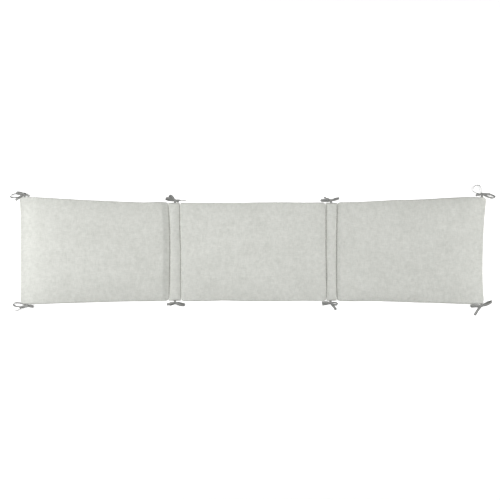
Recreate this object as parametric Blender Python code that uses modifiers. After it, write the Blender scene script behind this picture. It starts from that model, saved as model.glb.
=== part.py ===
"""Crib bumper: three filled panels in a row, sewn together over two narrow hinge strips,
with eight tapes tied in bows, four at the ends and four at the hinge strips.

It lies on its back, as when it is spread out on a table: X runs along its length, Y up its
height and Z up through its filling. The origin is the middle of the middle panel's flat back.
"""
import math
from collections import namedtuple

import bmesh
import bpy
from mathutils import Vector

MM = 0.001

# Driving sizes of the bumper, metres
PANEL_WIDTH = 0.600  # each filled panel, seam to seam
HINGE_WIDTH = 0.045  # each hinge strip between two panels
BUMPER_HEIGHT = 0.401  # finished height of the middle panel
PANEL_CROWN = 0.025  # filled thickness of a panel
HINGE_CROWN = 0.015  # filled thickness of a hinge strip
SEAM_HEIGHT = 0.0075  # the sewn edges, above the surface
SEAM_THICKNESS = 0.003  # the layers of cloth caught in a seam
SEAM_GAP = 0.0005  # between two pieces sewn together
ROOT_GAP = 0.0005  # between a sewn edge and the square end of a tape's root
TAPE_WIDTH = 0.010
TAPE_THICKNESS = 0.002

# From a sewn edge the cloth first rolls up steeply and then slopes up to its full height. The
# roll and the slope are distances in from the edge, and the steep share is the roll's part of
# the rise.
Shoulder = namedtuple("Shoulder", "roll steep slope")
LONG_SHOULDER = Shoulder(0.012, 0.40, 0.115)
FULL_SHOULDER = Shoulder(0.010, 0.35, 0.046)  # where a panel is filled right up to its seam
HINGE_SHOULDER = Shoulder(0.012, 0.70, 0.022)
SLOPE_POWER = 2.4
PANEL_UNDERSIDE = 0.036  # from a sewn edge to where the back lies flat
HINGE_UNDERSIDE = 0.014
DOME_SHARE = 0.14  # part of the crown that rises slowly towards a panel's middle
PANEL_CORNER = 0.012  # radius of a panel's corners
HINGE_CORNER = 0.002

PANEL_GRID = (22, 16)  # faces across and up each skin of a panel
HINGE_GRID = (6, 16)
LOOP_STEPS = 13  # sections along a bow's loop
TAIL_STEPS = 6
SHARP_ANGLE = math.radians(50)  # faces that meet more sharply than this keep their edge
SLOPE_STEP = 0.01  # share of a run over which its direction is measured

HALF_HEIGHT = BUMPER_HEIGHT / 2
HALF_PANEL = PANEL_WIDTH / 2
HINGE_OUTSIDE = HALF_PANEL + HINGE_WIDTH  # a hinge strip's outer seam from the middle
HALF_LENGTH = HINGE_OUTSIDE + PANEL_WIDTH

# The six lines that cross the bumper, left to right. The cloth pulls each one a little off
# its straight place, by the millimetres given from the bottom edge to the top edge.
Line = namedtuple("Line", "place bottom lower middle upper top")
LINES = {
    "left_end": Line(-HALF_LENGTH, -3.8, -2.2, -2.6, -2.8, -7.5),
    "left_outer_seam": Line(-HINGE_OUTSIDE, 0.5, 3.0, 4.2, 2.8, -2.8),
    "left_inner_seam": Line(-HALF_PANEL, 4.4, 4.2, 4.4, 1.0, -0.4),
    "right_inner_seam": Line(HALF_PANEL, -1.0, -2.0, -3.8, -4.0, -3.4),
    "right_outer_seam": Line(HINGE_OUTSIDE, -3.6, -5.8, -5.6, -4.6, -2.8),
    "right_end": Line(HALF_LENGTH, -5.0, -10.4, -9.4, -5.0, 4.8),
}

# The long edges. The end panels flare towards the ends: across is the share of a panel's width
# from its left seam, above and below are how many millimetres the top and bottom edges stand
# outside the middle panel's nominal half height.
Edge = namedtuple("Edge", "across above below")
LEFT_EDGES = (
    Edge(0.00, 22.3, 11.0),
    Edge(0.10, 22.5, 13.2),
    Edge(0.26, 17.2, 9.8),
    Edge(0.42, 11.5, 7.0),
    Edge(0.59, 7.0, 4.1),
    Edge(0.75, 2.9, 1.4),
    Edge(0.84, 1.2, 1.6),
    Edge(0.92, 3.2, 0.8),
    Edge(1.00, 2.8, 0.0),
)
MIDDLE_EDGES = (
    Edge(0.00, 0.6, 0.8),
    Edge(0.18, -0.8, 0.4),
    Edge(0.29, -0.4, -1.8),
    Edge(0.40, -0.3, -0.2),
    Edge(0.51, 0.8, 1.3),
    Edge(0.72, 1.7, 0.6),
    Edge(0.84, 0.8, -0.4),
    Edge(1.00, 1.0, 0.4),
)
RIGHT_EDGES = (
    Edge(0.00, 2.4, 0.8),
    Edge(0.11, 2.5, 1.3),
    Edge(0.22, 5.5, 1.3),
    Edge(0.33, 9.4, 1.9),
    Edge(0.44, 11.8, 4.1),
    Edge(0.55, 12.8, 6.8),
    Edge(0.66, 16.8, 8.0),
    Edge(0.77, 20.4, 10.6),
    Edge(0.88, 23.0, 12.7),
    Edge(1.00, 21.5, 12.0),
)
HINGE_EDGES = (
    Edge(0.0, 0.2, -0.6),
    Edge(0.5, -0.6, -1.2),
    Edge(1.0, 0.2, -0.6),
)

# Each bow: its knot's place, in millimetres from the middle of the bumper, the edge that its root
# is sewn into, and its four runs of tape. A run leaves the knot at its heading (degrees, 0 along
# X, 90 along Y) and reaches that many millimetres, turning by its bend on the way. A loop is as
# wide open as given. The tape leans by its roll, 0 lying flat and 90 standing on its edge, and
# its lowest point is lifted that far off the surface.
Run = namedtuple("Run", "kind heading reach opening roll bend lift")
Bow = namedtuple("Bow", "knot_x knot_y edge runs")
BOWS = {
    "tie_left_end_top": Bow(-933.5, 235.2, "top", (
        Run("loop", 189, 59, 14, 78, 0, 0.0),
        Run("loop", 171, 34, 9, 40, 0, 2.5),
        Run("tail", 206, 46, 0, 10, 6, 0.0),
        Run("tail", 348, 21, 0, 35, -14, 0.0),
    )),
    "tie_left_end_bottom": Bow(-923.3, -219.6, "bottom", (
        Run("loop", 174, 57, 15, 84, 0, 0.0),
        Run("loop", 353, 27, 6, 40, 0, 0.5),
        Run("tail", 192, 34, 0, 12, 2, 0.0),
        Run("tail", 207, 60, 0, 78, -4, 0.0),
    )),
    "tie_left_hinge_top": Bow(-319.5, 209.2, "top", (
        Run("loop", 168, 39, 10, 40, 0, 0.0),
        Run("loop", 137, 31, 10, 45, 0, 1.5),
        Run("tail", 350, 16, 0, 20, -8, 0.0),
        Run("tail", 4, 48, 0, 80, -6, 0.0),
    )),
    "tie_left_hinge_bottom": Bow(-319.5, -208.2, "bottom", (
        Run("loop", 194, 24, 9, 35, 0, 1.5),
        Run("loop", 348, 42, 9, 35, 0, 0.5),
        Run("tail", 190, 35, 0, 15, 2, 0.0),
        Run("tail", 332, 30, 0, 5, 8, 0.0),
    )),
    "tie_right_hinge_top": Bow(317.0, 208.8, "top", (
        Run("loop", 179, 43, 6, 58, 0, 0.5),
        Run("loop", 17, 35, 5, 60, 0, 0.5),
        Run("tail", 154, 31, 0, 48, 0, 0.0),
        Run("tail", 184, 36, 0, 30, -4, 0.0),
    )),
    "tie_right_hinge_bottom": Bow(315.0, -208.7, "bottom", (
        Run("loop", 179, 35, 7, 40, 0, 1.0),
        Run("loop", 351, 29, 9, 55, 0, 0.5),
        Run("tail", 193, 34, 0, 15, 0, 0.0),
        Run("tail", 317, 37, 0, 10, -8, 0.0),
    )),
    "tie_right_end_top": Bow(933.1, 235.6, "top", (
        Run("loop", 133, 43, 32, 86, 0, 0.0),
        Run("loop", 346, 54, 13, 64, 0, 0.0),
        Run("tail", 191, 24, 0, 10, 0, 0.0),
        Run("tail", 359, 36, 0, 15, 0, 0.0),
    )),
    "tie_right_end_bottom": Bow(931.0, -220.4, "bottom", (
        Run("loop", 180, 46, 9, 30, 0, 1.5),
        Run("loop", 16, 46, 9, 35, 8, 0.5),
        Run("tail", 186, 40, 0, 0, 0, 0.0),
        Run("tail", 232, 47, 0, 15, 4, 0.0),
    )),
}
KNOT_SIZE = (0.013, 0.011, 0.008)
KNOT_HEIGHT = 0.0054  # the knot's middle above the surface
KNOT_ROUNDING = 0.0025
KNOT_ROUNDING_STEPS = 1
KNOT_REACH = 0.014  # the tape has its full width this far from the knot's middle
KNOT_GATHER = 0.55  # its share of that width inside the knot
TAIL_SETTLES = 0.024  # a free end has come down to the surface this far from the knot
ROOT_OVERLAP = 0.004  # how deep the sewn root runs into the knot
ROOT_THICKNESS = 0.0026  # two layers of tape, pressed
LOOP_START = 0.06  # share of a loop's turn that is hidden in the knot, at each end
LOOP_POINT = 0.7  # how pointed a loop is where it leaves the knot
LAYER_GAP = 0.0003  # between a loop's two layers where they leave the knot
LOOP_FULLNESS = 1.41  # brings a loop's widest place to the opening that the table gives

# Cloth colours and roughness
CLOTH_GREY = (0.62, 0.63, 0.59, 1.0)
TAPE_GREY = (0.17, 0.17, 0.165, 1.0)
CLOTH_ROUGHNESS = 0.92
TAPE_ROUGHNESS = 0.80


def clear_scene():
    for item in list(bpy.data.objects):
        bpy.data.objects.remove(item, do_unlink=True)


def new_collection(name):
    collection = bpy.data.collections.new(name)
    bpy.context.scene.collection.children.link(collection)
    return collection


def cloth_material(name, colour, roughness):
    material = bpy.data.materials.new(name)
    material.use_nodes = True
    shader = material.node_tree.nodes["Principled BSDF"]
    shader.inputs["Base Color"].default_value = colour
    shader.inputs["Roughness"].default_value = roughness
    shader.inputs["Metallic"].default_value = 0.0
    return material


def smooth_value(places, values, at):
    """The value at one place on a smooth curve through the given places."""
    last = len(places) - 1
    at = min(max(at, places[0]), places[last])
    step = 0
    while step < last - 1 and at > places[step + 1]:
        step += 1

    def slope(index):
        before = max(index - 1, 0)
        after = min(index + 1, last)
        return (values[after] - values[before]) / (places[after] - places[before])

    span = places[step + 1] - places[step]
    t = (at - places[step]) / span
    return (
        values[step] * (2 * t**3 - 3 * t**2 + 1)
        + values[step + 1] * (3 * t**2 - 2 * t**3)
        + slope(step) * span * (t**3 - 2 * t**2 + t)
        + slope(step + 1) * span * (t**3 - t**2)
    )


def line_x(name, height_share):
    """X of one crossing line at a share of the bumper's height, 0 at the bottom."""
    line = LINES[name]
    shifts = line[1:]
    places = [index / (len(shifts) - 1) for index in range(len(shifts))]
    return line.place + smooth_value(places, shifts, height_share) * MM


def edge_y(edges, across, side):
    """Y of the top edge (side 1) or the bottom edge (side -1) at a share of the width."""
    places = [edge.across for edge in edges]
    values = [edge.above if side > 0 else edge.below for edge in edges]
    return side * (HALF_HEIGHT + smooth_value(places, values, across) * MM)


def gathered(share):
    """Spread even steps so that they lie closer together towards both ends."""
    return 0.5 - 0.5 * math.cos(math.pi * share)


def rolled(distance, reach):
    """0 at a sewn edge and 1 past the reach, rising like a quarter of an ellipse."""
    inward = min(max(distance / reach, 0.0), 1.0)
    return math.sqrt(1.0 - (1.0 - inward) ** 2)


def risen(distance, shoulder):
    """0 at a sewn edge and 1 where the filling is full: a steep roll and then a long slope."""
    inward = min(max(distance / shoulder.slope, 0.0), 1.0)
    slope = 1.0 - (1.0 - inward) ** SLOPE_POWER
    return shoulder.steep * rolled(distance, shoulder.roll) + (1.0 - shoulder.steep) * slope


def rounded_corner(from_side, from_edge, radius):
    """Turn two distances from the edges so that the corner follows an arc."""
    if from_side >= radius or from_edge >= radius:
        return from_side, from_edge
    a = 1.0 - from_side / radius
    b = 1.0 - from_edge / radius
    turned_a = a * math.sqrt(1.0 - b * b / 2.0)
    turned_b = b * math.sqrt(1.0 - a * a / 2.0)
    return radius * (1.0 - turned_a), radius * (1.0 - turned_b)


FilledPiece = namedtuple(
    "FilledPiece",
    "left right edges crown at_left at_right at_edges underside dome corner grid gap_left gap_right",
)


def outline_point(piece, across, up):
    """A place on the piece seen from above, and how far it is from the left and right seams
    and from the nearer long edge."""
    left = line_x(piece.left, up) + piece.gap_left
    right = line_x(piece.right, up) - piece.gap_right
    bottom = edge_y(piece.edges, across, -1)
    top = edge_y(piece.edges, across, 1)
    from_left = across * (right - left)
    from_right = (1.0 - across) * (right - left)
    from_side = min(from_left, from_right)
    from_edge = min(up, 1.0 - up) * (top - bottom)
    side_in, edge_in = rounded_corner(from_side, from_edge, piece.corner)
    x = left + side_in if across < 0.5 else right - side_in
    y = bottom + edge_in if up < 0.5 else top - edge_in
    if from_side >= piece.corner:
        x = left + across * (right - left)
    if from_edge >= piece.corner:
        y = bottom + up * (top - bottom)
    return x, y, from_left, from_right, from_edge


def filled_piece(name, piece, material, collection):
    """Two skins of cloth, sewn all round and swollen by the filling between them."""
    across_faces, up_faces = piece.grid
    shape = bmesh.new()
    bmesh.ops.create_grid(shape, x_segments=across_faces, y_segments=up_faces, size=0.5)
    lower_skin = set(shape.verts)
    bmesh.ops.extrude_face_region(shape, geom=shape.faces[:], use_keep_orig=True)
    seam_top = SEAM_HEIGHT + SEAM_THICKNESS / 2
    seam_bottom = SEAM_HEIGHT - SEAM_THICKNESS / 2
    for vertex in shape.verts:
        across = gathered(vertex.co.x + 0.5)
        up = gathered(vertex.co.y + 0.5)
        x, y, from_left, from_right, from_edge = outline_point(piece, across, up)
        if vertex in lower_skin:
            from_side = min(from_left, from_right)
            flat = rolled(from_side, piece.underside) * rolled(from_edge, piece.underside)
            z = seam_bottom * (1.0 - flat)
        else:
            swell = (
                risen(from_left, piece.at_left) * risen(from_right, piece.at_right)
                * risen(from_edge, piece.at_edges)
            )
            middle = math.sin(math.pi * across) * math.sin(math.pi * up)
            dome = 1.0 - piece.dome * (1.0 - middle)
            z = seam_top + (piece.crown - seam_top) * swell * dome
        vertex.co = Vector((x, y, z))
    bmesh.ops.recalc_face_normals(shape, faces=shape.faces[:])
    mesh = bpy.data.meshes.new(name)
    shape.to_mesh(mesh)
    shape.free()
    mesh.shade_smooth()
    mesh.set_sharp_from_angle(angle=SHARP_ANGLE)
    mesh.materials.append(material)
    item = bpy.data.objects.new(name, mesh)
    collection.objects.link(item)
    return item


def filled_panel(left, right, edges, at_left, at_right):
    """A filled panel between two lines, less half a seam's gap where it is sewn on."""
    return FilledPiece(
        left=left, right=right, edges=edges, crown=PANEL_CROWN, at_left=at_left,
        at_right=at_right, at_edges=LONG_SHOULDER, underside=PANEL_UNDERSIDE, dome=DOME_SHARE,
        corner=PANEL_CORNER, grid=PANEL_GRID,
        gap_left=SEAM_GAP / 2 if left.endswith("seam") else 0.0,
        gap_right=SEAM_GAP / 2 if right.endswith("seam") else 0.0,
    )


def hinge_strip(left, right):
    """The narrow, softly filled strip that lets two panels fold against each other."""
    return FilledPiece(
        left=left, right=right, edges=HINGE_EDGES, crown=HINGE_CROWN, at_left=HINGE_SHOULDER,
        at_right=HINGE_SHOULDER, at_edges=HINGE_SHOULDER, underside=HINGE_UNDERSIDE, dome=0.0,
        corner=HINGE_CORNER, grid=HINGE_GRID, gap_left=SEAM_GAP / 2, gap_right=SEAM_GAP / 2,
    )


PIECES = {
    "panel_left": filled_panel(
        "left_end", "left_outer_seam", LEFT_EDGES, LONG_SHOULDER, FULL_SHOULDER
    ),
    "hinge_left": hinge_strip("left_outer_seam", "left_inner_seam"),
    "panel_middle": filled_panel(
        "left_inner_seam", "right_inner_seam", MIDDLE_EDGES, LONG_SHOULDER, LONG_SHOULDER
    ),
    "hinge_right": hinge_strip("right_inner_seam", "right_outer_seam"),
    "panel_right": filled_panel(
        "right_outer_seam", "right_end", RIGHT_EDGES, LONG_SHOULDER, LONG_SHOULDER
    ),
}


def headed(run, out):
    """Directions of a run at a share of its reach: along it, beside it and straight up."""
    heading = math.radians(run.heading + run.bend * out)
    along = Vector((math.cos(heading), math.sin(heading), 0.0))
    beside = Vector((-math.sin(heading), math.cos(heading), 0.0))
    return along, beside, Vector((0.0, 0.0, 1.0))


def leaning(run, out, settled=1.0):
    """The way across the tape's width, and the way that a loop opens, square to it."""
    along, beside, upward = headed(run, out)
    lean = math.radians(run.roll) * settled
    width_way = beside * math.cos(lean) + upward * math.sin(lean)
    open_way = upward * math.cos(lean) - beside * math.sin(lean)
    return along, width_way, open_way


def loop_middle(run, share):
    """The middle of the tape on a loop: out of the knot, round, and back beside itself."""
    turn = LOOP_START + share * (1.0 - 2.0 * LOOP_START)
    out = (1.0 - math.cos(2.0 * math.pi * turn)) / 2.0
    spread = run.opening * MM / 2.0 * LOOP_FULLNESS * out**LOOP_POINT
    apart = (TAPE_THICKNESS / 2 + LAYER_GAP) * math.cos(math.pi * turn)
    along, _width_way, open_way = leaning(run, out)
    return along * run.reach * MM * out + open_way * (
        spread * math.sin(2.0 * math.pi * turn) + apart
    )


def tail_settled(run, share):
    """0 where a free end leaves the knot, 1 where it has come down to the surface."""
    away = min(share * run.reach * MM / TAIL_SETTLES, 1.0)
    return away * away * (3.0 - 2.0 * away)


def tail_middle(run, share):
    """The middle of the tape on a free end, which sinks from the knot to the surface."""
    along, _beside, upward = headed(run, share)
    lean = math.radians(run.roll)
    resting = TAPE_WIDTH / 2 * math.sin(lean) + TAPE_THICKNESS / 2 * math.cos(lean)
    sunk = tail_settled(run, share)
    return along * run.reach * MM * share + upward * (
        KNOT_HEIGHT * (1.0 - sunk) + (resting + run.lift * MM) * sunk
    )


def run_section(run, share):
    """Middle, width direction, thickness direction and gathered width at one section."""
    middle_at = loop_middle if run.kind == "loop" else tail_middle
    before = middle_at(run, max(share - SLOPE_STEP, 0.0))
    after = middle_at(run, min(share + SLOPE_STEP, 1.0))
    middle = middle_at(run, share)
    way = (after - before).normalized()
    if run.kind == "loop":
        turn = LOOP_START + share * (1.0 - 2.0 * LOOP_START)
        out = (1.0 - math.cos(2.0 * math.pi * turn)) / 2.0
        _along, width_way, _open_way = leaning(run, out)
    else:
        _along, width_way, _open_way = leaning(run, share, tail_settled(run, share))
    width_way = (width_way - way * width_way.dot(way)).normalized()
    free = min(middle.xy.length / KNOT_REACH, 1.0)
    gathered_width = KNOT_GATHER + (1.0 - KNOT_GATHER) * free * free * (3.0 - 2.0 * free)
    return middle, width_way, way.cross(width_way), gathered_width


def tape_run(name, run, place, collection):
    """A closed strip of tape for one loop or one free end of a bow."""
    steps = LOOP_STEPS if run.kind == "loop" else TAIL_STEPS
    strip = bmesh.new()
    bmesh.ops.create_grid(strip, x_segments=steps, y_segments=1, size=0.5)
    under_side = set(strip.verts)
    bmesh.ops.extrude_face_region(strip, geom=strip.faces[:], use_keep_orig=True)
    for vertex in strip.verts:
        share = vertex.co.x + 0.5
        across = vertex.co.y * TAPE_WIDTH
        layer = -TAPE_THICKNESS / 2 if vertex in under_side else TAPE_THICKNESS / 2
        middle, width_way, thickness_way, gathered_width = run_section(run, share)
        vertex.co = middle + width_way * across * gathered_width + thickness_way * layer
    lowest = min(vertex.co.z for vertex in strip.verts)
    rest = place + Vector((0.0, 0.0, run.lift * MM - lowest))
    bmesh.ops.translate(strip, verts=strip.verts[:], vec=rest)
    bmesh.ops.recalc_face_normals(strip, faces=strip.faces[:])
    mesh = bpy.data.meshes.new(name)
    strip.to_mesh(mesh)
    strip.free()
    return hidden_piece(bpy.data.objects.new(name, mesh), collection)


def hidden_piece(item, collection):
    """A piece that is only there to be joined into another one."""
    for owner in list(item.users_collection):
        owner.objects.unlink(item)
    collection.objects.link(item)
    item.hide_render = True
    item.display_type = "WIRE"
    return item


def block(name, size, centre):
    """A cube primitive at its size and place."""
    bpy.ops.mesh.primitive_cube_add(size=1.0, location=centre)
    item = bpy.context.object
    item.name = name
    item.data.name = name
    item.scale = size
    bpy.ops.object.transform_apply(location=True, rotation=False, scale=True)
    return item


def sewn_edge_y(x, side):
    """Y of the sewn edge that a root at this X is caught in."""
    if abs(x) < HINGE_OUTSIDE:
        return edge_y(HINGE_EDGES, (abs(x) - HALF_PANEL) / HINGE_WIDTH, side)
    if x < 0:
        return edge_y(LEFT_EDGES, (x + HALF_LENGTH) / PANEL_WIDTH, side)
    return edge_y(RIGHT_EDGES, (x - HINGE_OUTSIDE) / PANEL_WIDTH, side)


def sewn_root(name, bow, collection):
    """The folded middle of the tape, from the sewn edge into the knot."""
    side = 1 if bow.edge == "top" else -1
    x = bow.knot_x * MM
    reaches = [side * sewn_edge_y(x + shift, side) for shift in (-TAPE_WIDTH / 2, TAPE_WIDTH / 2)]
    outer_y = side * (max(reaches) + ROOT_GAP)
    inner_y = bow.knot_y * MM - side * (KNOT_SIZE[1] / 2 - ROOT_OVERLAP)
    size = (TAPE_WIDTH, abs(inner_y - outer_y), ROOT_THICKNESS)
    root = block(name, size, (x, (outer_y + inner_y) / 2, SEAM_HEIGHT))
    hidden_piece(root, collection)


def bow_tie(name, bow, material, collection, joined):
    """A tape tied in a bow: its root and four runs joined into its knot as one solid."""
    place = Vector((bow.knot_x * MM, bow.knot_y * MM, 0.0))
    knot = block(name, KNOT_SIZE, (place.x, place.y, KNOT_HEIGHT))
    for owner in list(knot.users_collection):
        owner.objects.unlink(knot)
    collection.objects.link(knot)
    rounding = knot.modifiers.new("rounded", "BEVEL")
    rounding.width = KNOT_ROUNDING
    rounding.segments = KNOT_ROUNDING_STEPS
    pieces = bpy.data.collections.new(name + "_pieces")
    joined.children.link(pieces)
    sewn_root(name + "_root", bow, pieces)
    for number, run in enumerate(bow.runs, start=1):
        tape_run(f"{name}_run_{number}", run, place, pieces)
    union = knot.modifiers.new("joined", "BOOLEAN")
    union.operation = "UNION"
    union.solver = "EXACT"
    union.operand_type = "COLLECTION"
    union.collection = pieces
    knot.data.materials.append(material)


def build_bumper():
    clear_scene()
    bumper = new_collection("crib_bumper")
    joined = new_collection("bow_runs")
    cloth = cloth_material("mottled_cloth", CLOTH_GREY, CLOTH_ROUGHNESS)
    tape = cloth_material("dark_tape", TAPE_GREY, TAPE_ROUGHNESS)
    for name, piece in PIECES.items():
        filled_piece(name, piece, cloth, bumper)
    for name, bow in BOWS.items():
        bow_tie(name, bow, tape, bumper, joined)


build_bumper()
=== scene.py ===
"""A long padded cloth bumper for a crib, lying flat on its back and seen from straight above.

Three filled panels of pale grey heathered cotton, two narrow hinge strips stitched between them,
and eight dark tapes tied in bows. X runs along the bumper, Y up its height, Z through its filling.
"""
import math
import random
from collections import namedtuple

import bmesh
import bpy
import numpy as np
from mathutils import Matrix, Vector, noise


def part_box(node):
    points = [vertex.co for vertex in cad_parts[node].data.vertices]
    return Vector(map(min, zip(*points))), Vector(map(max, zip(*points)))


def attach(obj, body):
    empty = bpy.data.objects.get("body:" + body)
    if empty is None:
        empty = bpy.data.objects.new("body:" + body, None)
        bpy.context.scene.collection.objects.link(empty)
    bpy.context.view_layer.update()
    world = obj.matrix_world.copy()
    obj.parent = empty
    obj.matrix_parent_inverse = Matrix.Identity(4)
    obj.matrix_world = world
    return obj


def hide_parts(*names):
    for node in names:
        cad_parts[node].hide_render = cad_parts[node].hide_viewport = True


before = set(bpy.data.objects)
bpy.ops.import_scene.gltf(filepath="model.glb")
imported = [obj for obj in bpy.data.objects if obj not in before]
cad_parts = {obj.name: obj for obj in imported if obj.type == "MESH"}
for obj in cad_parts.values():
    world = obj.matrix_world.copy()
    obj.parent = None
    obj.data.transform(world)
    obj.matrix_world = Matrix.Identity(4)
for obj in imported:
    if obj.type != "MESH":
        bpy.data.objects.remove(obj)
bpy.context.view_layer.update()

# ---------------------------------------------------------------------------------------------
# The view. The bumper is seen from straight above, as it is spread out on a pale table, so that
# its whole length just fills the picture.
# ---------------------------------------------------------------------------------------------
PICTURE_WIDTH = 2.040  # metres of the table that the picture shows
VIEW_CENTRE = (-0.0135, 0.0073)
LENS = 0.050
SENSOR = 0.036
SEWN_HEIGHT = 0.0075  # the height that the picture's width is taken at
VIEW_DEPTH = 60.0

camera_height = SEWN_HEIGHT + PICTURE_WIDTH * LENS / SENSOR
bpy.ops.object.camera_add(location=(*VIEW_CENTRE, camera_height), rotation=(0.0, 0.0, 0.0))
view_camera = bpy.context.object
view_camera.name = "view_from_above"
view_camera.data.lens = LENS * 1000
view_camera.data.sensor_width = SENSOR * 1000
view_camera.data.clip_end = VIEW_DEPTH
bpy.context.scene.camera = view_camera

# ---------------------------------------------------------------------------------------------
# The cotton of the panels and strips: a plain weave of pale grey threads, some of them lighter
# or darker than the rest, so that it looks finely mottled. Matte, with a little fuzz.
# ---------------------------------------------------------------------------------------------
THREAD_PITCH = 0.00055
SLUB_LENGTH = 0.018
SLUB_WIDTH = 0.0015
MOTTLE_SIZE = 0.015
CLOUD_SIZE = 0.090
SLUB_STRENGTH = 1.08  # how far the slubs, the mottle and the clouds each vary the shade
MOTTLE_STRENGTH = 1.08
CLOUD_STRENGTH = 0.5
WEAVE_HEIGHT = 0.6  # of the threads, as a share of the slubs' height
COTTON_RELIEF = 0.0003
COTTON_BUMP = 0.35
COTTON_ROUGHNESS = 0.9
COTTON_FUZZ = 0.08
COTTON_DARK = (0.545, 0.555, 0.515, 1.0)
COTTON_LIGHT = (0.705, 0.712, 0.672, 1.0)


def link(tree, output, target):
    tree.links.new(output, target)


def shader_node(tree, kind, **settings):
    node = tree.nodes.new(kind)
    for name, value in settings.items():
        setattr(node, name, value)
    return node


def math_node(tree, operation, first, second=None):
    """A Math node whose two inputs are sockets or numbers."""
    node = shader_node(tree, "ShaderNodeMath", operation=operation)
    for socket, value in zip(node.inputs, (first, second)):
        if isinstance(value, bpy.types.NodeSocket):
            link(tree, value, socket)
        elif value is not None:
            socket.default_value = value
    return node.outputs[0]


def strengthened(tree, grain, strength, offset):
    """A noise times its strength, with the offset added."""
    shade = math_node(tree, "MULTIPLY_ADD", grain, strength)
    shade.node.inputs[2].default_value = offset
    return shade


def stretched_noise(tree, place, across, along, detail, seed):
    """Noise whose grains are as long as given along X and Y, in metres."""
    mapping = shader_node(tree, "ShaderNodeMapping")
    mapping.inputs["Location"].default_value = (seed, seed * 0.7, 0.0)
    mapping.inputs["Scale"].default_value = (1.0 / across, 1.0 / along, 1.0 / max(across, along))
    link(tree, place, mapping.inputs["Vector"])
    grain = shader_node(tree, "ShaderNodeTexNoise")
    grain.inputs["Scale"].default_value = 1.0
    grain.inputs["Detail"].default_value = detail
    link(tree, mapping.outputs["Vector"], grain.inputs["Vector"])
    return grain.outputs["Fac"]


def thread_waves(tree, place, axis, pitch):
    """Rounded threads, side by side along one axis."""
    parts = shader_node(tree, "ShaderNodeSeparateXYZ")
    link(tree, place, parts.inputs["Vector"])
    turned = math_node(tree, "MULTIPLY", parts.outputs[axis], math.pi / pitch)
    return math_node(tree, "ABSOLUTE", math_node(tree, "SINE", turned))


def heathered_cotton(name, dark, light, roughness):
    """Pale threads with darker and lighter slubs along X and Y, over a fine mottle."""
    material = bpy.data.materials.new(name)
    material.use_nodes = True
    tree = material.node_tree
    shader = tree.nodes["Principled BSDF"]
    shader.inputs["Roughness"].default_value = roughness
    shader.inputs["Sheen Weight"].default_value = COTTON_FUZZ
    shader.inputs["Sheen Roughness"].default_value = 0.6
    shader.inputs["Specular IOR Level"].default_value = 0.25
    place = shader_node(tree, "ShaderNodeTexCoord").outputs["Object"]
    slubs_x = stretched_noise(tree, place, SLUB_LENGTH, SLUB_WIDTH, detail=2.0, seed=3.1)
    slubs_y = stretched_noise(tree, place, SLUB_WIDTH, SLUB_LENGTH, detail=2.0, seed=7.7)
    mottle = stretched_noise(tree, place, MOTTLE_SIZE, MOTTLE_SIZE, detail=4.0, seed=12.9)
    cloud = stretched_noise(tree, place, CLOUD_SIZE, CLOUD_SIZE, detail=2.0, seed=23.4)
    slubs = math_node(tree, "ADD", slubs_x, slubs_y)
    # Each noise is 0.5 on average, and so is the shade that they give together.
    tone = strengthened(tree, slubs, SLUB_STRENGTH, -SLUB_STRENGTH)
    fine = strengthened(tree, mottle, MOTTLE_STRENGTH, -MOTTLE_STRENGTH / 2)
    broad = strengthened(tree, cloud, CLOUD_STRENGTH, 0.5 - CLOUD_STRENGTH / 2)
    shade = math_node(tree, "ADD", math_node(tree, "ADD", tone, fine), broad)
    colours = shader_node(tree, "ShaderNodeMix", data_type="RGBA")
    colours.inputs["A"].default_value = dark
    colours.inputs["B"].default_value = light
    colours.clamp_factor = True
    link(tree, shade, colours.inputs["Factor"])
    link(tree, colours.outputs["Result"], shader.inputs["Base Color"])
    weave = math_node(
        tree, "MAXIMUM",
        thread_waves(tree, place, "X", THREAD_PITCH),
        thread_waves(tree, place, "Y", THREAD_PITCH),
    )
    threads = math_node(tree, "MULTIPLY", weave, WEAVE_HEIGHT)
    height = math_node(tree, "ADD", threads, slubs)
    bump = shader_node(tree, "ShaderNodeBump")
    bump.inputs["Strength"].default_value = COTTON_BUMP
    bump.inputs["Distance"].default_value = COTTON_RELIEF
    link(tree, height, bump.inputs["Height"])
    link(tree, bump.outputs["Normal"], shader.inputs["Normal"])
    return material


panel_cotton = heathered_cotton("heathered_cotton", COTTON_DARK, COTTON_LIGHT, COTTON_ROUGHNESS)

# ---------------------------------------------------------------------------------------------
# The three filled panels and the two hinge strips. Each is two skins of cotton, sewn together
# all round over polyester wadding, so it is thickest in its middle and thin at its seams, where
# the stitches gather the cloth into small puckers. Its outline is that of its CAD solid.
# ---------------------------------------------------------------------------------------------
SEAM_HEIGHT = 0.0075
SEAM_SUNK = 0.0022  # how far the stitches beside a hinge strip draw the seam down
END_LIFT = 0.003  # how far the filling lifts the sewn edge at the two outer ends
EDGE_THICKNESS = 0.0022  # of the two skins where they are sewn together
EDGE_GROOVE = 0.0009  # how far the sewn line lies in between the two rolled edges
CLOTH_STEP = 0.0056  # between the points that are laid out; the subdivision halves it
CROWDING = 0.55  # how much the points crowd towards the seams, where the cloth curves most
SETTLE_FRAMES = 20
SETTLE_CAP = 0.0025  # the farthest that a point of the cloth moves while it settles
FILLING_PRESSURE = 1.0
WADDING_HOLD = 0.20  # how firmly the wadding holds the face to its shape, 0 to 1
SPARE_CLOTH = -0.020  # cloth gathered by the stitches, as a share of its length beside a seam
GATHER_REACH = 0.016
DRIFT = 0.12  # how far a pucker leans as it runs in from its seam
PUCKER_PITCHES = (0.0075, 0.017)
PUCKER_PEAK = 0.005  # from the seam to the deepest part of a pucker
PUCKER_FADE = 0.016
WIDE_PUCKERS = 0.6  # depth of the wider puckers, as a share of the narrow ones
PUCKER_TAIL = 0.5  # depth of the long fading part of a pucker, in the same way
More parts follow.
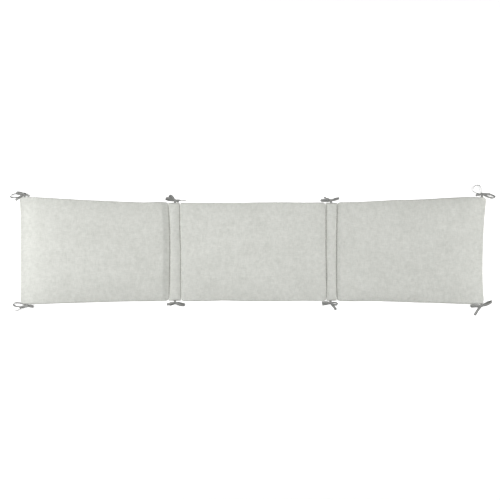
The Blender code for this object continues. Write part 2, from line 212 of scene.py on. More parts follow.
LUMPS = ((0.0009, 0.120), (0.0005, 0.045), (0.00018, 0.016))  # height and size, in the wadding
LUMPS_START = 0.03  # from the seams
AT_SEAM = 1e-5  # a point closer than this to a seam, or to its height, lies on it
SUNK_REACH = 0.012  # how far from a sunk seam the cloth is drawn down with it

Side = namedtuple("Side", "roll bend steep reach ease pucker sunk", defaults=(0.0,))
Filling = namedtuple("Filling", "node crown dome underside seed left right bottom top")
# crown: thickness of the filling. dome: part of it that rises slowly towards the middle.
# underside: from a sewn edge to where the back lies flat. At each side the cloth first rolls up
# steeply, over the roll and by the steep part of its rise, and then slopes up over the reach. The
# bend is how round the roll is, 0.5 like an ellipse, the ease how the slope levels out, and the
# pucker how deep its folds are. Beside a hinge strip the stitches draw the seam down by the sunk
# depth.
PANEL = (0.0250, 0.10, 0.034)  # crown, dome and underside
HINGE = (0.0150, 0.0, 0.014)
HINGE_END = Side(0.010, 0.5, 0.70, 0.020, 2.4, 2e-4)
FILLINGS = (
    Filling(
        "panel_left", *PANEL, 11,
        Side(0.005, 0.5, 0.0, 0.170, 2.2, 3e-4, -END_LIFT),
        Side(0.0165, 0.85, 0.78, 0.046, 2.4, 6e-4, SEAM_SUNK),
        Side(0.006, 0.5, 0.25, 0.115, 2.4, 3e-4), Side(0.006, 0.5, 0.25, 0.095, 2.4, 3e-4),
    ),
    Filling(
        "hinge_left", *HINGE, 23,
        Side(0.010, 0.7, 0.40, 0.024, 2.0, 4e-4, SEAM_SUNK),
        Side(0.014, 0.75, 0.50, 0.030, 1.4, 4e-4, SEAM_SUNK), HINGE_END, HINGE_END,
    ),
    Filling(
        "panel_middle", *PANEL, 37,
        Side(0.007, 0.6, 0.35, 0.125, 2.4, 5e-4, SEAM_SUNK),
        Side(0.010, 0.65, 0.45, 0.155, 2.4, 5e-4, SEAM_SUNK),
        Side(0.006, 0.5, 0.24, 0.135, 2.4, 3e-4), Side(0.006, 0.5, 0.28, 0.074, 2.4, 3e-4),
    ),
    Filling(
        "hinge_right", *HINGE, 41,
        Side(0.013, 0.70, 0.85, 0.024, 2.0, 5e-4, SEAM_SUNK),
        Side(0.008, 0.60, 0.80, 0.022, 2.0, 5e-4, SEAM_SUNK), HINGE_END, HINGE_END,
    ),
    Filling(
        "panel_right", *PANEL, 59,
        Side(0.010, 0.75, 0.64, 0.085, 2.4, 6e-4, SEAM_SUNK),
        Side(0.005, 0.5, 0.0, 0.135, 2.6, 3e-4, -END_LIFT),
        Side(0.006, 0.5, 0.28, 0.074, 2.4, 3e-4), Side(0.006, 0.5, 0.25, 0.115, 2.4, 3e-4),
    ),
)


def deselect_all():
    for item in bpy.context.selected_objects:
        item.select_set(False)


def sewn_outline(node):
    """The four sides of a filled piece seen from above: bottom, right, top and left, each one
    an array of points that runs the way that X or Y grows."""
    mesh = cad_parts[node].data
    places = np.array([vertex.co for vertex in mesh.vertices])
    edge_top = places[:, 2][places[:, 2] > SEAM_HEIGHT].min()
    rim = places[np.abs(places[:, 2] - edge_top) < AT_SEAM][:, :2]
    rim = np.unique(np.round(rim, 6), axis=0)
    low, high = rim.min(axis=0), rim.max(axis=0)
    spread = (rim - (low + high) / 2) / (high - low)
    rim = rim[np.argsort(np.arctan2(spread[:, 1], spread[:, 0]))]
    spots = {
        name: int(np.argmin(np.hypot(*(rim - np.array(corner)).T)))
        for name, corner in {
            "low_left": (low[0], low[1]), "low_right": (high[0], low[1]),
            "high_right": (high[0], high[1]), "high_left": (low[0], high[1]),
        }.items()
    }

    def stretch(first, last):
        count = (spots[last] - spots[first]) % len(rim)
        return rim[(spots[first] + np.arange(count + 1)) % len(rim)]

    return (
        stretch("low_left", "low_right"),
        stretch("low_right", "high_right"),
        stretch("high_right", "high_left")[::-1],
        stretch("high_left", "low_left")[::-1],
    )


def side_points(side, shares):
    """Points on a side at shares of its length. The side's own points crowd at its ends."""
    own = 0.5 - 0.5 * np.cos(np.pi * np.linspace(0.0, 1.0, len(side)))
    return np.stack([np.interp(shares, own, side[:, axis]) for axis in (0, 1)], axis=-1)


def rolled(distance, roll, bend=0.5):
    """0 at a sewn edge and 1 past the roll: a quarter of a circle at a bend of 0.5, and the
    straighter the closer the bend is to 1."""
    inward = np.clip(distance / roll, 0.0, 1.0)
    return (1.0 - (1.0 - inward) ** (1.0 / bend)) ** bend


def risen(distance, side):
    """0 at a sewn edge and 1 where the filling is full: a steep roll and then a long slope."""
    slope = 1.0 - (1.0 - np.clip(distance / side.reach, 0.0, 1.0)) ** side.ease
    return side.steep * rolled(distance, side.roll, side.bend) + (1.0 - side.steep) * slope


def noise_along(values, size, seed, second=None):
    """Smooth random values from -1 to 1, for places given in one or two directions."""
    other = np.zeros_like(values) if second is None else second / size
    return np.array([
        noise.noise(Vector((place / size, beside, seed)))
        for place, beside in zip(values, other)
    ])


def from_seams(cut, size):
    """How far each point of the cut cloth is from its left, right, bottom and top seam."""
    u, v = cut.T
    return u * size[0], (1 - u) * size[0], v * size[1], (1 - v) * size[1]


def seam_height(filling, distances):
    """The height of the sewn edge nearest to each point, lower beside a sunk seam."""
    height = SEAM_HEIGHT
    for beside, side in zip(distances, (filling.left, filling.right, filling.bottom, filling.top)):
        height = height - side.sunk * np.exp(-((beside / SUNK_REACH) ** 2))
    return height


def gathered_folds(along, inward, depth, seed):
    """Puckers square to a seam: none on the seam itself, deepest beside it, fading inwards."""
    drift = along + inward * DRIFT
    folds = (
        noise_along(drift, PUCKER_PITCHES[0], seed)
        + WIDE_PUCKERS * noise_along(drift, PUCKER_PITCHES[1], seed + 5)
    )
    near = inward / PUCKER_PEAK
    tail = PUCKER_TAIL * np.exp(-inward / PUCKER_FADE) * np.minimum(near, 1.0)
    return depth * folds * (near * np.exp(1.0 - near) + tail)


def lay_out(filling, outline, cut, size):
    """Where each point of the cut cloth lies: its place in plan, and its face and back heights."""
    bottom, right, top, left = outline
    u, v = cut.T
    u_, v_ = u[:, None], v[:, None]
    corners = (
        (1 - u_) * (1 - v_) * bottom[0] + u_ * (1 - v_) * bottom[-1]
        + (1 - u_) * v_ * top[0] + u_ * v_ * top[-1]
    )
    plan = (
        (1 - v_) * side_points(bottom, u) + v_ * side_points(top, u)
        + (1 - u_) * side_points(left, v) + u_ * side_points(right, v) - corners
    )
    swell, lying = 1.0, 1.0
    sides = (filling.left, filling.right, filling.bottom, filling.top)
    for inward, side in zip(from_seams(cut, size), sides):
        swell = swell * risen(inward, side)
        lying = lying * rolled(inward, filling.underside)
    dome = 1.0 - filling.dome * (1.0 - np.sin(np.pi * u) * np.sin(np.pi * v))
    sewn = seam_height(filling, from_seams(cut, size))
    edge_top = sewn + EDGE_THICKNESS / 2
    edge_bottom = sewn - EDGE_THICKNESS / 2
    face = edge_top + (filling.crown - edge_top) * swell * dome
    back = np.maximum(edge_bottom * (1.0 - lying), 0.0)
    return plan, face, back


def settle(cloth, count, inward):
    """Let the face of the cloth settle over its filling, held by its seams and by the table."""
    rim = inward < AT_SEAM
    held = cloth.vertex_groups.new(name="held")
    taut = cloth.vertex_groups.new(name="taut")
    for index in range(count):
        held.add([index], 1.0 if rim[index] else WADDING_HOLD, "REPLACE")
        taut.add([index], 1.0 - float(np.exp(-inward[index] / GATHER_REACH)), "REPLACE")
    held.add(list(range(count, 2 * count)), 1.0, "REPLACE")
    before = np.array([vertex.co for vertex in cloth.data.vertices])
    settling = cloth.modifiers.new("settling", "CLOTH")
    settling.settings.quality = 4
    settling.settings.use_pressure = True
    settling.settings.uniform_pressure_force = FILLING_PRESSURE
    settling.settings.effector_weights.gravity = 0.0
    settling.settings.vertex_group_mass = held.name
    settling.settings.vertex_group_shrink = taut.name
    settling.settings.shrink_min = SPARE_CLOTH
    settling.settings.shrink_max = 0.0
    settling.point_cache.frame_end = SETTLE_FRAMES
    for number in range(1, SETTLE_FRAMES + 1):
        bpy.context.scene.frame_set(number)
    bpy.ops.object.modifier_apply(modifier=settling.name)
    cloth.vertex_groups.clear()
    after = np.array([vertex.co for vertex in cloth.data.vertices])
    moved = after - before
    length = np.linalg.norm(moved, axis=1, keepdims=True)
    after = before + moved * np.minimum(1.0, SETTLE_CAP / np.maximum(length, 1e-9))
    cloth.data.vertices.foreach_set("co", after.astype(np.float32).ravel())
    bpy.context.scene.frame_set(1)


def filled_cloth(filling):
    """Lay out both skins as a grid within the sewn outline, fill them and let them settle."""
    outline = sewn_outline(filling.node)
    bottom, right, top, left = outline
    size = (
        float(np.ptp(np.concatenate([bottom, top])[:, 0])),
        float(np.ptp(np.concatenate([left, right])[:, 1])),
    )
    deselect_all()
    bpy.ops.mesh.primitive_grid_add(
        x_subdivisions=int(size[0] / CLOTH_STEP), y_subdivisions=int(size[1] / CLOTH_STEP),
        size=1.0,
    )
    cloth = bpy.context.object
    cloth.name = cloth.data.name = (
        filling.node.replace("panel", "filled_panel").replace("hinge", "soft_hinge")
    )
    even = np.array([vertex.co for vertex in cloth.data.vertices])[:, :2] + 0.5
    cut = (1 - CROWDING) * even + CROWDING * (0.5 - 0.5 * np.cos(np.pi * even))
    cut_map = cloth.data.uv_layers.active
    cut_map.name = "cut"
    for loop in cloth.data.loops:
        cut_map.data[loop.index].uv = cut[loop.vertex_index]
    skins = cloth.modifiers.new("second_skin", "SOLIDIFY")
    skins.thickness = EDGE_THICKNESS
    bpy.ops.object.modifier_apply(modifier=skins.name)
    plan, face, back = lay_out(filling, outline, cut, size)
    points = np.concatenate([np.column_stack([plan, face]), np.column_stack([plan, back])])
    cloth.data.vertices.foreach_set("co", points.astype(np.float32).ravel())
    cloth.data.update()
    settle(cloth, len(cut), np.min(from_seams(cut, size), axis=0))

    # Both rolled edges keep their place while one subdivision rounds the rest.
    creases = cloth.data.attributes.new("crease_edge", "FLOAT", "EDGE")
    on_rim = np.min(from_seams(np.tile(cut, (2, 1)), size), axis=0) < AT_SEAM
    for edge in cloth.data.edges:
        first, second = edge.vertices
        same_skin = (first < len(cut)) == (second < len(cut))
        if on_rim[first] and on_rim[second] and same_skin:
            creases.data[edge.index].value = 1.0
    finer = cloth.modifiers.new("finer", "SUBSURF")
    finer.levels = finer.render_levels = 1
    bpy.ops.object.modifier_apply(modifier=finer.name)

    mesh = cloth.data
    mesh.update()
    points = np.array([vertex.co for vertex in mesh.vertices])
    normals = np.array([vertex.normal for vertex in mesh.vertices])
    cut = np.zeros((len(points), 2))
    for loop, spot in zip(mesh.loops, mesh.uv_layers["cut"].data):
        cut[loop.vertex_index] = spot.uv
    distances = from_seams(cut, size)
    inward = np.min(distances, axis=0)
    x, y = points[:, 0], points[:, 1]
    faces_up = (normals[:, 2] > 0) & (inward > AT_SEAM)
    wadding = sum(
        lump_height * noise_along(x, lump_size, filling.seed + number, y)
        for number, (lump_height, lump_size) in enumerate(LUMPS)
    ) * np.minimum(inward / LUMPS_START, 1.0)
    sides = (filling.left, filling.right, filling.bottom, filling.top)
    for number, (beside, side, along) in enumerate(
        zip(distances, sides, (y, y, x, x)), start=len(LUMPS)
    ):
        wadding += gathered_folds(along, beside, side.pucker, filling.seed + number)
    points[:, 2] += wadding * faces_up
    # The sewn line lies in a small groove between the rolled edges of the two skins.
    height = points[:, 2]
    sewn = seam_height(filling, distances)
    on_line = (inward < AT_SEAM) & (np.abs(height - sewn) < EDGE_THICKNESS / 4)
    outward = normals[on_line, :2]
    outward = outward / np.linalg.norm(outward, axis=1, keepdims=True)
    points[on_line, :2] -= outward * EDGE_GROOVE
    mesh.vertices.foreach_set("co", points.astype(np.float32).ravel())
    mesh.update()
    mesh.materials.append(panel_cotton)
    bpy.ops.object.shade_smooth()
    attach(cloth, "root")
    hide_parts(filling.node)


for filling in FILLINGS:
    filled_cloth(filling)

# ---------------------------------------------------------------------------------------------
# The stitching. Four seams run from edge to edge and hold the strips between the panels: a line
# of short stitches in pale grey thread, sunk in the groove between two filled pieces.
# ---------------------------------------------------------------------------------------------
STITCH_LENGTH = 0.0030
STITCH_SPACING = 0.0037
THREAD_THICKNESS = 0.0006
THREAD_DARK = (0.40, 0.405, 0.38, 1.0)
THREAD_LIGHT = (0.56, 0.565, 0.54, 1.0)
STRAND = (0.0004, 0.0015)  # width and length of the strands that the thread is twisted from
SEAM_ENDS = 0.004  # the first and last stitch from the edge
SEAM_POINTS = 400  # along the line that the stitches follow
STITCH_TURN = 0.08  # how unevenly the stitches are turned, placed, raised and spaced
STITCH_WANDER = 1e-4
STITCH_RISE = 2e-4
SPACING_SPREAD = 0.06

thread_material = bpy.data.materials.new("sewing_thread")
thread_material.use_nodes = True
thread_shader = thread_material.node_tree.nodes["Principled BSDF"]
thread_shader.inputs["Roughness"].default_value = 0.7
twist = shader_node(thread_material.node_tree, "ShaderNodeTexCoord").outputs["Object"]
strands = stretched_noise(thread_material.node_tree, twist, *STRAND, detail=2.0, seed=4.4)
thread_tone = shader_node(thread_material.node_tree, "ShaderNodeMix", data_type="RGBA")
thread_tone.inputs["A"].default_value = THREAD_DARK
thread_tone.inputs["B"].default_value = THREAD_LIGHT
link(thread_material.node_tree, strands, thread_tone.inputs["Factor"])
link(thread_material.node_tree, thread_tone.outputs["Result"], thread_shader.inputs["Base Color"])


def stitched_seam(name, left_node, right_node, seed):
    """Short stitches along the line where two filled pieces are sewn together."""
    rng = random.Random(seed)
    shares = np.linspace(0.0, 1.0, SEAM_POINTS)
    line = (
        side_points(sewn_outline(left_node)[1], shares)
        + side_points(sewn_outline(right_node)[3], shares)
    ) / 2
    heights = line[:, 1]
    deselect_all()
    bpy.ops.mesh.primitive_uv_sphere_add(segments=6, ring_count=4, radius=0.5)
    stitch = bpy.context.object
    stitch.scale = (THREAD_THICKNESS, STITCH_LENGTH, THREAD_THICKNESS)
    bpy.ops.object.transform_apply(location=False, rotation=False, scale=True)
    seam = bmesh.new()
    place = heights[0] + SEAM_ENDS
    while place < heights[-1] - SEAM_ENDS:
        x = float(np.interp(place, heights, line[:, 0]))
        ahead = float(np.interp(place + STITCH_LENGTH, heights, line[:, 0]))
        turned = math.atan2(x - ahead, STITCH_LENGTH) + rng.uniform(-STITCH_TURN, STITCH_TURN)
        height = SEAM_HEIGHT - SEAM_SUNK + EDGE_THICKNESS / 2 + rng.uniform(0, STITCH_RISE)
        at = Vector((x + rng.uniform(-STITCH_WANDER, STITCH_WANDER), place, height))
        one = stitch.data.copy()
        one.transform(Matrix.Translation(at) @ Matrix.Rotation(turned, 4, "Z"))
        seam.from_mesh(one)
        bpy.data.meshes.remove(one)
        place += STITCH_SPACING * rng.uniform(1 - SPACING_SPREAD, 1 + SPACING_SPREAD)
    seam.to_mesh(stitch.data)
    seam.free()
    stitch.name = stitch.data.name = name
    stitch.data.materials.append(thread_material)
    bpy.ops.object.shade_smooth()
    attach(stitch, "root")


for number, (left_node, right_node) in enumerate((
    ("panel_left", "hinge_left"), ("hinge_left", "panel_middle"),
    ("panel_middle", "hinge_right"), ("hinge_right", "panel_right"),
), start=1):
    stitched_seam(f"seam_stitches_{number}", left_node, right_node, number)

# ---------------------------------------------------------------------------------------------
# The ties. Each is one length of dark grey cotton tape, folded at its middle, caught in a seam
# there and tied in a bow: two loops, two free ends and the knot that holds them.
# ---------------------------------------------------------------------------------------------
MM = 0.001
TAPE_WIDTH = 0.010
TAPE_THICKNESS = 0.0012
TAPE_LAYER = 0.002  # the height that each layer takes up in the bow
LAYER_GAP = 0.0003
LOOP_STEPS = 56
TAIL_STEPS = 26
TAPE_FACES = 6  # across the tape
TWILL_PITCH = 0.0011
THREAD_ROWS = 0.0007  # between the threads along the tape
ROW_HEIGHT = 0.5  # of those threads, as a share of the twill's height
TAPE_RELIEF = 0.0002
TAPE_BUMP = 0.4
TAPE_WEAR = (0.004, 0.0015)  # length and width of the worn and darker spots
TAPE_DARK = (0.215, 0.217, 0.208, 1.0)
TAPE_LIGHT = (0.385, 0.387, 0.376, 1.0)
WEAVE_PAINTED_LIGHT = 0.16  # painted light: how much lighter the raised threads, and darker the hollows between them, are painted
SMOOTH_ANGLE = 40  # degrees; the tape's own edges stay sharp
KNOT_HEIGHT = 0.0054
KNOT_REACH = 0.014
KNOT_GATHER = 0.55
KNOT_CUP = 0.0026  # how deep the gathered tape is cupped
TAIL_SETTLES = 0.024
LOOP_START = 0.06
LOOP_POINT = 0.7
LOOP_FULLNESS = 1.41
KNOT_LENGTH = 0.0095  # of the band that is wound round the middle of the bow
KNOT_RADII = (0.0062, 0.0046)  # of the band, along Y and Z
KNOT_STEPS = 28
KNOT_BULGE = 0.9  # how much thinner the band is at its two edges than in its middle
KNOT_BULGE_POWER = 2.2
KNOT_CREASE = (0.07, 0.25, 0.11)  # depth, sideways swing and width of the crease round it
KNOT_TURNS = 0.4  # how far the band turns with the first loop's heading
ROOT_STEPS = 6
ROOT_LAYER = 0.00065  # of each layer of the folded tape from the middle between them
ROOT_TUCK = 0.001  # how far the folded tape goes into the seam
LOOP_TAPE = 2.1  # the tape in a loop, as a multiple of the loop's reach
SHARE_STEP = 0.01
MOST_LEAN = 64  # degrees that the width of the tape leans at most, where a loop stands up

Run = namedtuple("Run", "kind heading reach opening roll bend lift")
Bow = namedtuple("Bow", "knot_x knot_y edge runs")
# A run leaves the knot at its heading, in degrees, and reaches that many millimetres. A loop
# stands open by its opening, also in millimetres. The tape leans by its roll, 0 lying flat and 90
# on its edge, turns by its bend on the way out, and is lifted that far off the table.
BOWS = {
    "left_end_top": Bow(-933.5, 235.2, "top", (
        Run("loop", 189, 59, 14, 78, 0, 0.0),
        Run("loop", 171, 34, 9, 40, 0, 2.5),
        Run("tail", 206, 46, 0, 10, 6, 0.0),
        Run("tail", 348, 21, 0, 35, -14, 0.0),
    )),
    "left_end_bottom": Bow(-923.3, -219.6, "bottom", (
        Run("loop", 174, 57, 15, 84, 0, 0.0),
        Run("loop", 353, 27, 6, 40, 0, 0.5),
        Run("tail", 192, 34, 0, 12, 2, 0.0),
        Run("tail", 207, 60, 0, 78, -4, 0.0),
    )),
    "left_hinge_top": Bow(-319.5, 209.2, "top", (
        Run("loop", 168, 39, 10, 40, 0, 0.0),
        Run("loop", 137, 31, 10, 45, 0, 1.5),
        Run("tail", 350, 16, 0, 20, -8, 0.0),
        Run("tail", 4, 48, 0, 80, -6, 0.0),
    )),
    "left_hinge_bottom": Bow(-319.5, -208.2, "bottom", (
        Run("loop", 194, 24, 9, 35, 0, 1.5),
        Run("loop", 348, 42, 9, 35, 0, 0.5),
        Run("tail", 190, 35, 0, 15, 2, 0.0),
        Run("tail", 332, 30, 0, 5, 8, 0.0),
    )),
    "right_hinge_top": Bow(317.0, 208.8, "top", (
        Run("loop", 179, 43, 6, 58, 0, 0.5),
        Run("loop", 17, 35, 5, 60, 0, 0.5),
        Run("tail", 154, 31, 0, 48, 0, 0.0),
        Run("tail", 184, 36, 0, 30, -4, 0.0),
    )),
    "right_hinge_bottom": Bow(315.0, -208.7, "bottom", (
        Run("loop", 179, 35, 7, 40, 0, 1.0),
        Run("loop", 351, 29, 9, 55, 0, 0.5),
        Run("tail", 193, 34, 0, 15, 0, 0.0),
        Run("tail", 317, 37, 0, 10, -8, 0.0),
    )),
    "right_end_top": Bow(933.1, 235.6, "top", (
        Run("loop", 133, 43, 32, 86, 0, 0.0),
        Run("loop", 346, 54, 13, 64, 0, 0.0),
        Run("tail", 191, 24, 0, 10, 0, 0.0),
        Run("tail", 359, 36, 0, 15, 0, 0.0),
    )),
    "right_end_bottom": Bow(931.0, -220.4, "bottom", (
        Run("loop", 180, 46, 9, 30, 0, 1.5),
        Run("loop", 16, 46, 9, 35, 8, 0.5),
        Run("tail", 186, 40, 0, 0, 0, 0.0),
        Run("tail", 232, 47, 0, 15, 4, 0.0),
    )),
}


def woven_tape():
    """Dark cotton tape: a fine twill that follows the tape's own length and width, with its raised
    threads painted lighter and its hollows painted darker, as painted highlight and shade.
    """
    material = bpy.data.materials.new("woven_tape")
    material.use_nodes = True
    tree = material.node_tree
    shader = tree.nodes["Principled BSDF"]
    shader.inputs["Roughness"].default_value = 0.78
    shader.inputs["Sheen Weight"].default_value = 0.1
    shader.inputs["Specular IOR Level"].default_value = 0.3
    place = shader_node(tree, "ShaderNodeUVMap", uv_map="tape").outputs["UV"]
    parts = shader_node(tree, "ShaderNodeSeparateXYZ")
    link(tree, place, parts.inputs["Vector"])
    slanted = math_node(tree, "ADD", parts.outputs["X"], parts.outputs["Y"])
    slanted = math_node(tree, "MULTIPLY", slanted, 2 * math.pi / TWILL_PITCH)
    rows = math_node(tree, "MULTIPLY", parts.outputs["Y"], 2 * math.pi / THREAD_ROWS)
    raised = math_node(tree, "MULTIPLY", math_node(tree, "SINE", rows), ROW_HEIGHT)
    weave = math_node(tree, "ADD", math_node(tree, "SINE", slanted), raised)
    wear = stretched_noise(tree, place, *TAPE_WEAR, detail=3.0, seed=8.1)
    # Painted light and shade: the twill's ridges are painted lighter and its hollows darker, on
    # top of the random wear spots.
    tone = math_node(tree, "MULTIPLY_ADD", weave, WEAVE_PAINTED_LIGHT)
    link(tree, wear, tone.node.inputs[2])
    colours = shader_node(tree, "ShaderNodeMix", data_type="RGBA")
    colours.inputs["A"].default_value = TAPE_DARK
    colours.inputs["B"].default_value = TAPE_LIGHT
    link(tree, tone, colours.inputs["Factor"])
    link(tree, colours.outputs["Result"], shader.inputs["Base Color"])
    bump = shader_node(tree, "ShaderNodeBump")
    bump.inputs["Strength"].default_value = TAPE_BUMP
    bump.inputs["Distance"].default_value = TAPE_RELIEF
    link(tree, weave, bump.inputs["Height"])
    link(tree, bump.outputs["Normal"], shader.inputs["Normal"])
    return material


tape_cotton = woven_tape()


def headed(run, out):
    heading = math.radians(run.heading + run.bend * out)
    along = Vector((math.cos(heading), math.sin(heading), 0.0))
    beside = Vector((-math.sin(heading), math.cos(heading), 0.0))
    return along, beside, Vector((0.0, 0.0, 1.0))


def leaning(run, out, settled=1.0):
    """The way across the tape's width, and the way that a loop opens, square to it."""
    along, beside, upward = headed(run, out)
    lean = math.radians(run.roll) * settled
    width_way = beside * math.cos(lean) + upward * math.sin(lean)
    open_way = upward * math.cos(lean) - beside * math.sin(lean)
    return along, width_way, open_way


def loop_turn(share):
    turn = LOOP_START + share * (1.0 - 2.0 * LOOP_START)
    return turn, (1.0 - math.cos(2.0 * math.pi * turn)) / 2.0


def loop_middle(run, share):
    """The middle of the tape on a loop: out of the knot, round, and back beside itself."""
    turn, out = loop_turn(share)
    spread = run.opening * MM / 2.0 * LOOP_FULLNESS * out**LOOP_POINT
    apart = (TAPE_LAYER / 2 + LAYER_GAP) * math.cos(math.pi * turn)
    along, _width_way, open_way = leaning(run, out)
    return along * run.reach * MM * out + open_way * (
        spread * math.sin(2.0 * math.pi * turn) + apart
    )


def tail_settled(run, share):
    away = min(share * run.reach * MM / TAIL_SETTLES, 1.0)
    return away * away * (3.0 - 2.0 * away)


def tail_middle(run, share):
    """The middle of the tape on a free end, which sinks from the knot to the table."""
    along, _beside, upward = headed(run, share)
    lean = math.radians(run.roll)
    resting = TAPE_WIDTH / 2 * math.sin(lean) + TAPE_LAYER / 2 * math.cos(lean)
    sunk = tail_settled(run, share)
    return along * run.reach * MM * share + upward * (
        KNOT_HEIGHT * (1.0 - sunk) + (resting + run.lift * MM) * sunk
    )


def run_section(run, share):
    """Middle, width direction, thickness direction and gathered width at one section."""
    middle_at = loop_middle if run.kind == "loop" else tail_middle
    before = middle_at(run, max(share - SHARE_STEP, 0.0))
    after = middle_at(run, min(share + SHARE_STEP, 1.0))
    middle = middle_at(run, share)
    way = (after - before).normalized()
    if run.kind == "loop":
        upright = min(1.0, MOST_LEAN / max(run.roll, 1))
        _along, width_way, _open_way = leaning(run, loop_turn(share)[1], upright)
    else:
        _along, width_way, _open_way = leaning(run, share, tail_settled(run, share))
    width_way = (width_way - way * width_way.dot(way)).normalized()
    free = min(middle.xy.length / KNOT_REACH, 1.0)
    gathered_width = KNOT_GATHER + (1.0 - KNOT_GATHER) * free * free * (3.0 - 2.0 * free)
    return middle, width_way, way.cross(width_way), gathered_width


def tape_strip(name, steps, section_at, length):
    """A length of tape laid along its sections, with its own length and width as its UV map."""
    deselect_all()
    bpy.ops.mesh.primitive_grid_add(x_subdivisions=steps, y_subdivisions=TAPE_FACES, size=1.0)
    strip = bpy.context.object
    strip.name = strip.data.name = name
    for layer in list(strip.data.uv_layers):
        strip.data.uv_layers.remove(layer)
    tape_map = strip.data.uv_layers.new(name="tape")
    for loop in strip.data.loops:
        at = strip.data.vertices[loop.vertex_index].co
        tape_map.data[loop.index].uv = ((at.x + 0.5) * length, at.y * TAPE_WIDTH)
    for vertex in strip.data.vertices:
        middle, width_way, thickness_way, gathered_width = section_at(vertex.co.x + 0.5)
        across = vertex.co.y
        cup = KNOT_CUP * (1.0 - gathered_width) / (1.0 - KNOT_GATHER) * (1.0 - 4.0 * across**2)
        sideways = width_way * across * TAPE_WIDTH * gathered_width
        vertex.co = middle + sideways + thickness_way * cup
    doubled = strip.modifiers.new("thickness", "SOLIDIFY")
    doubled.thickness = TAPE_THICKNESS
    doubled.offset = 0.0
    bpy.ops.object.modifier_apply(modifier=doubled.name)
    return strip


def bow_run(name, run, place):
    """One loop or one free end, its lowest point at the height that its lift gives."""
    steps = LOOP_STEPS if run.kind == "loop" else TAIL_STEPS
    length = run.reach * MM * (LOOP_TAPE if run.kind == "loop" else 1.0)
    strip = tape_strip(name, steps, lambda share: run_section(run, share), length)
    lowest = min(vertex.co.z for vertex in strip.data.vertices)
    strip.data.transform(Matrix.Translation(place + Vector((0.0, 0.0, run.lift * MM - lowest))))
    return strip


def knot_band(name, place, tilt):
    """The turn of tape round the middle of the bow, drawn tight and bulging a little."""
    deselect_all()
    bpy.ops.mesh.primitive_cylinder_add(
        vertices=KNOT_STEPS, radius=1.0, depth=1.0, end_fill_type="NOTHING"
    )
    band = bpy.context.object
    band.name = band.data.name = name
    for layer in list(band.data.uv_layers):
        band.data.uv_layers.remove(layer)
    bpy.ops.object.mode_set(mode="EDIT")
    bpy.ops.mesh.select_all(action="SELECT")
    bpy.ops.mesh.subdivide(number_cuts=1)
    bpy.ops.object.mode_set(mode="OBJECT")
    work = bmesh.new()
    work.from_mesh(band.data)
    lengthwise = [
        edge for edge in work.edges if abs(edge.verts[0].co.z - edge.verts[1].co.z) > 0.1
    ]
    bmesh.ops.subdivide_edges(work, edges=lengthwise, cuts=2, use_grid_fill=True)
    work.to_mesh(band.data)
    work.free()
    tape_map = band.data.uv_layers.new(name="tape")
    for loop in band.data.loops:
        at = band.data.vertices[loop.vertex_index].co
        tape_map.data[loop.index].uv = (math.atan2(at.y, at.x) * KNOT_RADII[0], at.z * TAPE_WIDTH)
    depth, swing, width = KNOT_CREASE
    for vertex in band.data.vertices:
        across = vertex.co.z
        turn = math.atan2(vertex.co.y, vertex.co.x)
        bulge = 1.0 - KNOT_BULGE * abs(across) ** KNOT_BULGE_POWER
        crease = 1.0 - depth * math.exp(-((across - swing * math.sin(turn * 2.0)) / width) ** 2)
        vertex.co = Vector((
            across * KNOT_LENGTH,
            math.cos(turn) * KNOT_RADII[0] * bulge * crease,
            math.sin(turn) * KNOT_RADII[1] * bulge * crease,
        ))
    wall = band.modifiers.new("thickness", "SOLIDIFY")
    wall.thickness = TAPE_THICKNESS
    wall.offset = -1.0
    bpy.ops.object.modifier_apply(modifier=wall.name)
    band.data.transform(Matrix.Translation(place) @ Matrix.Rotation(math.radians(tilt), 4, "Z"))
    return band


def sewn_root(name, node, bow):
    """The folded middle of the tape, two layers, from the sewn edge into the knot."""
    side = 1 if bow.edge == "top" else -1
    low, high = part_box(node)
    inner = low.y if side > 0 else high.y
    sewn = inner if abs(inner) < abs(bow.knot_y * MM) else bow.knot_y * MM
    start = Vector((bow.knot_x * MM, sewn - side * ROOT_TUCK, SEAM_HEIGHT))
    end = Vector((bow.knot_x * MM, bow.knot_y * MM, KNOT_HEIGHT))
    layers = []
    for number, shift in enumerate((-ROOT_LAYER, ROOT_LAYER), start=1):
        def section_at(share, shift=shift):
            middle = start.lerp(end, share) + Vector((0.0, 0.0, shift))
            along = (end - start).normalized()
            width_way = Vector((1.0, 0.0, 0.0))
            narrowed = 1.0 - (1.0 - KNOT_GATHER) * share**2
            return middle, width_way, along.cross(width_way), narrowed
        length = (end - start).length
        layers.append(tape_strip(f"{name}_{number}", ROOT_STEPS, section_at, length))
    return layers


def bow_tie(name, bow):
    """Join the root, the knot, the loops and the free ends of one tape."""
    place = Vector((bow.knot_x * MM, bow.knot_y * MM, 0.0))
    node = "tie_" + name
    pieces = [bow_run(f"{name}_run_{n}", run, place) for n, run in enumerate(bow.runs, start=1)]
    knot_place = place + Vector((0.0, 0.0, KNOT_HEIGHT))
    turned = bow.runs[0].heading % 180
    tilt = turned if turned < 90 else turned - 180
    pieces.append(knot_band(f"{name}_knot", knot_place, tilt * KNOT_TURNS))
    pieces.extend(sewn_root(f"{name}_root", node, bow))
    deselect_all()
    for piece in pieces:
        piece.select_set(True)
    bow_object = pieces[0]
    bpy.context.view_layer.objects.active = bow_object
    bpy.ops.object.join()
    bow_object.name = bow_object.data.name = "bow_" + name
    bow_object.data.materials.append(tape_cotton)
    bpy.ops.object.shade_smooth_by_angle(angle=math.radians(SMOOTH_ANGLE))
    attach(bow_object, "root")
    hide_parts(node)


for name, bow in BOWS.items():
    bow_tie(name, bow)

# ---------------------------------------------------------------------------------------------
# The table and the light: a pale table top, large soft lights beyond both ends, the left ones
# stronger and one of them low, and two more straight above the middle.
# ---------------------------------------------------------------------------------------------
TABLE_SIZE = 28.0
BACKDROP_RADIUS = 13.9
BACKDROP_HEIGHT = 14.0
BACKDROP_SIDES = 96
TABLE_WHITE = (0.97, 0.97, 0.97, 1.0)
TABLE_GLOW = 0.50
WORLD_GLOW = 0.01

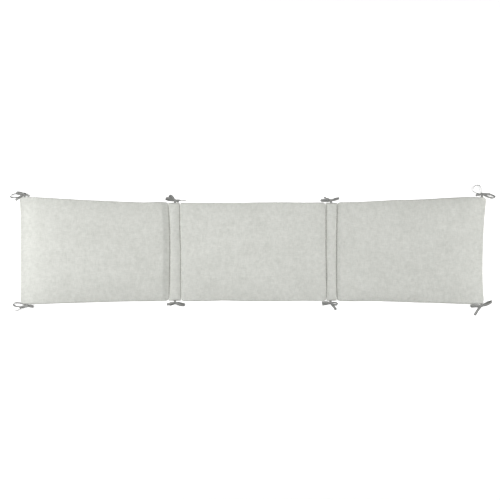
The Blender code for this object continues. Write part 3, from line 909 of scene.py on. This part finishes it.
deselect_all()
bpy.ops.mesh.primitive_plane_add(size=TABLE_SIZE, location=(0.0, 0.0, 0.0))
table_top = bpy.context.object
table_top.name = table_top.data.name = "table_top"
table_material = bpy.data.materials.new("pale_table")
table_material.use_nodes = True
table_shader = table_material.node_tree.nodes["Principled BSDF"]
table_shader.inputs["Base Color"].default_value = TABLE_WHITE
table_shader.inputs["Roughness"].default_value = 0.9
table_shader.inputs["Specular IOR Level"].default_value = 0.0
table_shader.inputs["Emission Color"].default_value = (1.0, 1.0, 1.0, 1.0)
table_shader.inputs["Emission Strength"].default_value = TABLE_GLOW
table_top.data.materials.append(table_material)

# A plain pale backdrop stands far round the table. It gives the bumper no light of its own.
deselect_all()
bpy.ops.mesh.primitive_cylinder_add(
    vertices=BACKDROP_SIDES, radius=BACKDROP_RADIUS, depth=BACKDROP_HEIGHT,
    end_fill_type="NOTHING", location=(0.0, 0.0, BACKDROP_HEIGHT / 2),
)
backdrop = bpy.context.object
bpy.ops.object.transform_apply(location=True, rotation=False, scale=False)
backdrop.name = backdrop.data.name = "pale_backdrop"
backdrop.visible_diffuse = False
backdrop.visible_glossy = False
backdrop.visible_shadow = False
backdrop.data.materials.append(table_material)


def soft_light(name, place, target, size, power):
    """A square softbox that faces a point on the bumper."""
    deselect_all()
    bpy.ops.object.light_add(type="AREA", location=place)
    lamp = bpy.context.object
    lamp.name = name
    lamp.data.shape = "SQUARE"
    lamp.data.size = size
    lamp.data.energy = power
    lamp.visible_camera = False
    lamp.rotation_euler = (Vector(target) - Vector(place)).to_track_quat("-Z", "Y").to_euler()


LEFT_PANEL = (-0.63, 0.0, 0.0)
MIDDLE_PANEL = (0.0, 0.0, 0.0)
RIGHT_PANEL = (0.63, 0.0, 0.0)
soft_light("softbox_left", (-1.90, -0.05, 1.10), LEFT_PANEL, size=0.76, power=16.5)
soft_light("softbox_left_low", (-2.00, 0.20, 0.70), LEFT_PANEL, size=0.52, power=11.4)
soft_light("softbox_above", (0.0, 0.10, 1.30), MIDDLE_PANEL, size=0.88, power=7.9)
soft_light("softbox_above_low", (0.0, 0.12, 0.90), MIDDLE_PANEL, size=0.64, power=1.2)
soft_light("softbox_right", (1.90, -0.03, 1.10), RIGHT_PANEL, size=0.76, power=21.2)

world = bpy.context.scene.world or bpy.data.worlds.new("studio")
bpy.context.scene.world = world
world.use_nodes = True
glow = world.node_tree.nodes["Background"]
glow.inputs["Color"].default_value = (1.0, 1.0, 1.0, 1.0)
glow.inputs["Strength"].default_value = WORLD_GLOW
bpy.context.scene.view_settings.view_transform = "Standard"
